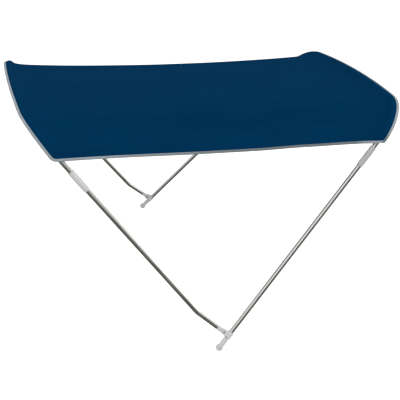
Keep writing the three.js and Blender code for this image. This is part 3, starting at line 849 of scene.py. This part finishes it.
# Stitching. A stitch is rings of thread, each with its place along the stitch, its size and its lift.

STITCH_SIDES = 5
STITCH_RINGS = ((-0.5, 0.45, -0.3), (-0.3, 1.0, 0.55), (0.3, 1.0, 0.55), (0.5, 0.45, -0.3))
STITCH_SLANT = 0.06


def stitch_mesh():
    """One stitch along X, lying on the surface: a thread that dips into the cloth at both ends."""
    points = []
    for x, size, lift in STITCH_RINGS:
        for t in full_turn(STITCH_SIDES):
            y, z = size * THREAD * math.cos(t), size * THREAD * math.sin(t) + lift * THREAD
            points.append((x * STITCH_LENGTH, y, z))
    faces = grid_faces(len(STITCH_RINGS), STITCH_SIDES, wrap_columns=True)[:, ::-1].tolist()
    faces.append(list(range(STITCH_SIDES - 1, -1, -1)))
    faces.append(list(range(len(points) - STITCH_SIDES, len(points))))
    return np.array(points), faces


def stitches(name, rows, look):
    """Joined stitches along rows of points, each with the surface's normal."""
    shape, faces = stitch_mesh()
    points, all_faces = [], []
    for line, normal in rows:
        run = travel(line)
        at = np.arange(STITCH_PITCH, run[-1] - STITCH_PITCH, STITCH_PITCH)
        middle, ahead, up = (np.stack([np.interp(where, run, values[:, k]) for k in range(3)], -1)
                             for where, values in ((at, line), (at + 1, line), (at, normal)))
        up = unit(up)
        along_row = unit(ahead - middle)
        beside = unit(np.cross(up, along_row))
        slant = column(STITCH_SLANT * np.sin(at * 1.7))
        along_row, beside = along_row + beside * slant, beside - along_row * slant
        laid = (middle[:, None, :] + shape[None, :, :1] * along_row[:, None, :]
                + shape[None, :, 1:2] * beside[:, None, :] + shape[None, :, 2:] * up[:, None, :])
        start = sum(len(p) for p in points)
        points.append(laid.reshape(-1, 3))
        for offset in range(start, start + len(at) * len(shape), len(shape)):
            all_faces.extend([[v + offset for v in face] for face in faces])
    new_piece(name, np.concatenate(points), all_faces, look)


def tape_row(stops, into):
    point, normal = cloth(*inwards_of(stops, into))
    return point + normal * (CLOTH / 2 + TAPE + 0.2), normal


def seam_row(bow, into):
    runs = np.linspace(16, FULL_RUN - 16, int(FULL_RUN / 6))
    point, normal = cloth(runs, Span(runs).place(bow, into))
    return point + normal * (CLOTH / 2 + 0.02), normal


# Materials. At scale 1 the wave texture's bands are its pitch apart.

WAVE_PITCH = 0.314


def add_node(tree, kind, inputs=None, output=0, **settings):
    """A new node's output. Its inputs are constants, or other nodes' outputs to link to."""
    made = tree.nodes.new("ShaderNode" + kind)
    for key, value in settings.items():
        setattr(made, key, value)
    for key, value in (inputs or {}).items():
        if isinstance(value, bpy.types.NodeSocket):
            tree.links.new(value, made.inputs[key])
        else:
            made.inputs[key].default_value = value
    return made.outputs[output]


class Look:
    """A node material and its slot. Constants go on the shader's sockets, and patterns are linked there."""

    def __init__(self, name, slot=None, **constants):
        self.slot = slot
        self.material = bpy.data.materials.new(name)
        self.material.use_nodes = True
        self.tree = self.material.node_tree
        self.shader = self.tree.nodes["Principled BSDF"]
        for key, value in constants.items():
            self.shader.inputs[key.replace("_", " ")].default_value = value

    def node(self, kind, inputs=None, output=0, **settings):
        return add_node(self.tree, kind, inputs, output, **settings)

    def cut(self, stretch=(1, 1, 1)):
        """The flat cloth's own coordinates in metres, stretched."""
        flat = self.node("UVMap", uv_map="cut")
        return self.node("Mapping", {"Vector": flat, "Scale": stretch})

    def place(self, stretch=(1, 1, 1)):
        spot = self.node("TexCoord", output=3)
        return self.node("Mapping", {"Vector": spot, "Scale": stretch})

    def marked(self, kind):
        return self.node("Attribute", output=2, attribute_name=kind)

    def noise(self, vector, scale, detail=3.0, rough=0.55):
        return self.node("TexNoise", {"Vector": vector, "Scale": scale, "Detail": detail, "Roughness": rough})

    def wave(self, vector, pitch, direction="X", distortion=0.0):
        """Bands at a pitch in metres."""
        return self.node("TexWave", {"Vector": vector, "Scale": WAVE_PITCH / pitch, "Distortion": distortion},
                         output=1, bands_direction=direction)

    def times(self, a, b):
        return self.node("Math", {0: a, 1: b}, operation="MULTIPLY")

    def plus(self, a, b):
        return self.node("Math", {0: a, 1: b}, operation="ADD")

    def spread(self, value, low, high, low_to=0.0, high_to=1.0):
        return self.node("MapRange", {"Value": value, "From Min": low, "From Max": high, "To Min": low_to,
                                      "To Max": high_to})

    def blend(self, share, a, b):
        """A colour between two, either of them three numbers or another node's output."""
        a, b = ((*value, 1) if isinstance(value, tuple) else value for value in (a, b))
        return self.node("Mix", {0: share, 6: a, 7: b}, output=2, data_type="RGBA")

    def color(self, socket):
        self.tree.links.new(socket, self.shader.inputs["Base Color"])

    def tones(self, pattern, low, high, dark, light):
        self.color(self.blend(self.spread(pattern, low, high), dark, light))

    def rough(self, pattern, low, high, low_to, high_to):
        self.tree.links.new(self.spread(pattern, low, high, low_to, high_to), self.shader.inputs["Roughness"])

    def relief(self, height, depth, strength=1.0, under=None):
        inputs = {"Height": height, "Distance": depth, "Strength": strength}
        if under is not None:
            inputs["Normal"] = under
        made = self.node("Bump", inputs)
        self.tree.links.new(made, self.shader.inputs["Normal"])
        return made


NAVY_DARK = (0.0003, 0.0305, 0.088)
NAVY = (0.0004, 0.0370, 0.104)
NAVY_WORN = (0.0015, 0.0495, 0.132)
WEAVE_PITCH = 0.0012


def navy_canvas():
    look = Look("navy_canvas", "navy_cloth", Specular_IOR_Level=0.002, Sheen_Weight=0.006,
                Sheen_Roughness=0.5, Sheen_Tint=(0.02, 0.25, 0.6, 1))
    flat = look.cut()
    broad = look.noise(flat, 2.6, 4.0)
    cloudy = look.noise(look.cut((0.35, 1, 1)), 14.0, 4.0)
    tone = look.plus(look.times(broad, 0.6), look.times(cloudy, 0.4))
    threads = look.times(look.noise(look.cut((5, 900, 1)), 1.0, 2.0),
                         look.noise(look.cut((900, 5, 1)), 1.0, 2.0))
    base = look.blend(look.spread(tone, 0.36, 0.64), NAVY_DARK, NAVY)
    base = look.blend(look.spread(threads, 0.12, 0.42, 0.0, 0.35), base, NAVY_WORN)
    # On the canopy this mark is wear, over the bows and along the hems
    wear_and_shade = look.times(look.marked("wear_and_shade"), look.spread(look.noise(flat, 60.0), 0.35, 0.7))
    look.color(look.blend(look.times(wear_and_shade, 0.5), base, NAVY_WORN))
    look.rough(cloudy, 0.3, 0.7, 0.72, 0.88)
    weave = look.times(look.wave(flat, WEAVE_PITCH, "X"), look.wave(flat, WEAVE_PITCH, "Y"))
    look.relief(weave, 0.00025, 0.7, look.relief(cloudy, 0.0006, 0.5))
    return look


TAPE_LIGHT = (0.46, 0.53, 0.58)
TAPE_GREY = (0.36, 0.42, 0.46)
# Warm dark grey for dirt and painted shade along the tape's fold
TAPE_DIRT_AND_SHADE = (0.16, 0.145, 0.125)
TAPE_SHADED = (0.075, 0.093, 0.100)
RIB_PITCH = 0.0009


def binding_tape():
    look = Look("binding_tape", "grey_tape", Specular_IOR_Level=0.2, Sheen_Weight=0.15, Sheen_Roughness=0.4)
    ribs = look.wave(look.cut(), RIB_PITCH, "X", 0.6)
    grime = look.noise(look.cut((9, 60, 1)), 1.0, 5.0)
    blotches = look.spread(look.noise(look.cut((25, 90, 1)), 1.0), 0.3, 0.75)
    base = look.blend(look.spread(grime, 0.38, 0.62), TAPE_GREY, TAPE_LIGHT)
    # Dirt and painted shade along the tape's fold, in blotches
    base = look.blend(look.times(look.times(look.marked("wear_and_shade"), blotches), 0.75), base, TAPE_DIRT_AND_SHADE)
    base = look.blend(look.times(ribs, 0.12), base, TAPE_LIGHT)
    look.color(look.blend(look.times(look.marked("shade"), 0.62), base, TAPE_SHADED))
    look.rough(grime, 0.3, 0.7, 0.6, 0.8)
    look.relief(ribs, 0.0002, 0.8)
    return look


TUBE_DARK = (0.58, 0.58, 0.565)
TUBE_LIGHT = (0.69, 0.69, 0.675)


def satin_tube():
    look = Look("satin_tube", "tube_aluminium", Metallic=1.0, Specular_IOR_Level=0.5)
    lines = look.noise(look.cut((2.5, 1400, 1)), 1.0, 3.0)
    clouds = look.noise(look.cut((7, 40, 1)), 1.0, 4.0)
    scuffs = look.spread(look.noise(look.cut((60, 300, 1)), 1.0, 6.0), 0.62, 0.7)
    look.tones(clouds, 0.35, 0.7, TUBE_DARK, TUBE_LIGHT)
    look.rough(look.plus(look.times(lines, 0.5), look.times(clouds, 0.5)), 0.35, 0.65, 0.24, 0.42)
    look.relief(scuffs, 0.00006, 0.4, look.relief(lines, 0.00004, 0.5))
    return look


def moulded_nylon(name, dark, light):
    look = Look(name, "white_nylon", Specular_IOR_Level=0.4)
    flow = look.noise(look.place(), 45.0, 4.0)
    look.tones(flow, 0.35, 0.7, dark, light)
    look.rough(flow, 0.3, 0.7, 0.42, 0.58)
    look.relief(look.noise(look.place(), 1800.0, 2.0), 0.00008, 0.5)
    return look


STEEL_DARK = (0.74, 0.74, 0.75)
STEEL_LIGHT = (0.86, 0.86, 0.85)
# The set screws are near black: dark steel, and painted shade for the gap under the slide's collar
SCREW_DARK = (0.004, 0.004, 0.004)
SCREW_LIGHT = (0.02, 0.02, 0.019)


def brushed_steel():
    look = Look("brushed_steel", "pin_steel", Metallic=1.0)
    turned = look.noise(look.place((1, 9, 1)), 900.0, 3.0)
    look.tones(turned, 0.35, 0.65, STEEL_DARK, STEEL_LIGHT)
    look.rough(turned, 0.3, 0.7, 0.36, 0.52)
    look.relief(turned, 0.00003, 0.4)
    return look


def dark_steel_and_shade():
    look = Look("dark_steel_and_shade", "pin_steel", Specular_IOR_Level=0.15)
    turned = look.noise(look.place(), 1500.0, 3.0)
    look.tones(turned, 0.35, 0.65, SCREW_DARK, SCREW_LIGHT)
    look.rough(turned, 0.3, 0.7, 0.5, 0.7)
    return look


def sewing_thread(name, slot, dark, light, shine):
    look = Look(name, slot, Specular_IOR_Level=shine)
    twist = look.noise(look.place(), 2400.0, 2.0)
    look.tones(twist, 0.35, 0.65, dark, light)
    look.rough(twist, 0.3, 0.7, 0.5, 0.7)
    look.relief(twist, 0.0001, 0.6)
    return look


# Stage, light and camera

FLOOR_DROP = 0.9
FLOOR_REACH = 600.0
FLOOR_DARK = (0.8, 0.8, 0.8)
FLOOR_LIGHT = (0.84, 0.84, 0.84)
SKY = (0.78, 0.78, 0.78, 1)
GROUND = (0.45, 0.45, 0.44, 1)
CARD_TONE = (0.13, 0.13, 0.115, 1)
CARD_BELOW = -1.2
CARD_BELOW_REACH = 60.0
CARD_BEHIND_REACH = 10.0
CARD_ARC = (100, 212)
CARD_HEIGHT = (-5.0, 4.2)
EYE = Vector((-1.0964, -4.9639, 2.2172))
AZIMUTH = rad(13.93)
TILT = rad(19.86)
ROLL = rad(0.97)
LENS = 91.19


def stage_sheet(name, corners, faces, look, unseen_by):
    mesh = bpy.data.meshes.new(name)
    mesh.from_pydata(corners, [], faces)
    mesh.materials.append(look.material)
    made = new_object(name, mesh)
    for kind in unseen_by:
        setattr(made, "visible_" + kind, False)


def build_floor():
    look = Look("pale_floor", Roughness=0.9, Specular_IOR_Level=0.0, Emission_Strength=0.7,
                Emission_Color=(1, 1, 1, 1))
    look.color(look.blend(look.noise(look.place(), 3.0), FLOOR_DARK, FLOOR_LIGHT))
    square = ((-1, -1), (1, -1), (1, 1), (-1, 1))
    corners = [(x * FLOOR_REACH, y * FLOOR_REACH, -FLOOR_DROP) for x, y in square]
    stage_sheet("floor", corners, [(0, 1, 2, 3)], look, ("glossy", "diffuse"))


def dark_card(name, corners, look):
    """A dark card that only reflections see: it gives the bare tubes their dark side."""
    count = len(corners) // 2
    faces = [(k, k + 1, k + 1 + count, k + count) for k in range(count - 1)]
    stage_sheet(name, corners, faces, look, ("camera", "diffuse", "shadow"))


def build_cards():
    look = Look("dark_card", Roughness=1.0, Specular_IOR_Level=0.0, Emission_Strength=1.0,
                Base_Color=(0, 0, 0, 1), Emission_Color=CARD_TONE)
    below = [(x * CARD_BELOW_REACH, y * CARD_BELOW_REACH, CARD_BELOW) for x in (-1, 1) for y in (-1, 1)]
    dark_card("card_below", below, look)
    turns = np.radians(np.linspace(*CARD_ARC, 15))
    behind = [(CARD_BEHIND_REACH * math.sin(t), CARD_BEHIND_REACH * math.cos(t), z)
              for z in CARD_HEIGHT for t in turns]
    dark_card("card_behind_camera", behind, look)


def build_world():
    """A soft pale sky over a grey ground."""
    world = bpy.data.worlds.new("sky")
    world.use_nodes = True
    tree = world.node_tree
    up = add_node(tree, "SeparateXYZ", {0: add_node(tree, "TexCoord")}, output=2)
    height = add_node(tree, "MapRange", {"Value": up, "From Min": -0.4, "From Max": 0.1})
    tone = add_node(tree, "ValToRGB", {"Fac": height})
    low, high = tone.node.color_ramp.elements
    low.position, low.color = 0.3, GROUND
    high.position, high.color = 0.8, SKY
    tree.links.new(tone, tree.nodes["Background"].inputs["Color"])
    bpy.context.scene.world = world


def aim(location, azimuth, tilt, roll=0.0):
    """An object's matrix that looks along the azimuth (from +Y towards +X), tilted down and rolled."""
    level = math.cos(tilt)
    forward = Vector((math.sin(azimuth) * level, math.cos(azimuth) * level, -math.sin(tilt)))
    right = Vector((math.cos(azimuth), -math.sin(azimuth), 0))
    up = right.cross(forward)
    right, up = right * math.cos(roll) + up * math.sin(roll), up * math.cos(roll) - right * math.sin(roll)
    turn = Matrix((right, up, -forward)).transposed().to_4x4()
    return Matrix.Translation(location) @ turn


def soft_light(name, location, azimuth, tilt, size, watts):
    lamp = bpy.data.lights.new(name, "AREA")
    lamp.size = size
    lamp.energy = watts
    made = new_object(name, lamp)
    made.matrix_world = aim(location, rad(azimuth), rad(tilt))
    made.visible_camera = False


def build_camera():
    """The photo's camera, from the perspective fit."""
    sensor = bpy.data.cameras.new("camera")
    sensor.lens = LENS
    sensor.sensor_width = 36
    sensor.clip_end = 1500
    camera = new_object("camera", sensor)
    camera.matrix_world = aim(EYE, AZIMUTH, TILT, ROLL)
    bpy.context.scene.camera = camera


# The object

navy = navy_canvas()
tape = binding_tape()
nylon = moulded_nylon("moulded_nylon", (0.74, 0.74, 0.73), (0.80, 0.80, 0.81))
# The main bow's sleeves take a darker copy of the same white nylon
darker_nylon = moulded_nylon("darker_nylon", (0.54, 0.54, 0.535), (0.60, 0.60, 0.60))
navy_thread = sewing_thread("navy_thread", "navy_cloth", (0.0004, 0.032, 0.09), (0.0015, 0.045, 0.122), 0.01)
grey_thread = sewing_thread("grey_thread", "grey_tape", (0.34, 0.36, 0.37), (0.5, 0.52, 0.53), 0.3)

build_tubes(satin_tube())
build_sleeves(darker_nylon, nylon)
build_fittings(nylon, brushed_steel())
build_screws(dark_steel_and_shade())
build_canopy(navy)

# The tapes' inside layers lie closer to the cloth along the sides than over the pockets at the ends
SIDE_UNDER = -1.1
END_UNDER = -2.2
around = sides_binding_stops()
across = right_binding_stops()
under = mix(SIDE_UNDER, END_UNDER, smooth(from_edge(around[:, 0]), 0, 12))
tape_piece("binding_tape_sides", "binding_sides", around, under, tape, False)
under = np.full(len(across), END_UNDER)
tape_piece("binding_tape_right", "binding_right_end", across, under, tape, True)
pocket_piece("pocket_cloth_second", "pocket_second", SECOND, navy)
pocket_piece("pocket_cloth_main", "pocket_main", MAIN, navy)

for name, stops in (("sides", around), ("right", across)):
    rows = [tape_row(stops, into) for into in TAPE_ROWS]
    stitches("binding_stitches_" + name, rows, grey_thread)
for name, bow in (("second", SECOND), ("main", MAIN)):
    rows = [seam_row(bow, into) for into in SEAM_ROWS]
    stitches("pocket_stitches_" + name, rows, navy_thread)

build_floor()
build_cards()
build_world()
soft_light("front_fill", (-1.2, -4.6, 3.4), azimuth=14, tilt=33, size=3.0, watts=26)
soft_light("right_key", (5.4, -0.6, 2.4), azimuth=-84, tilt=16, size=3.0, watts=70)
build_camera()
bpy.context.scene.view_settings.view_transform = "Standard"
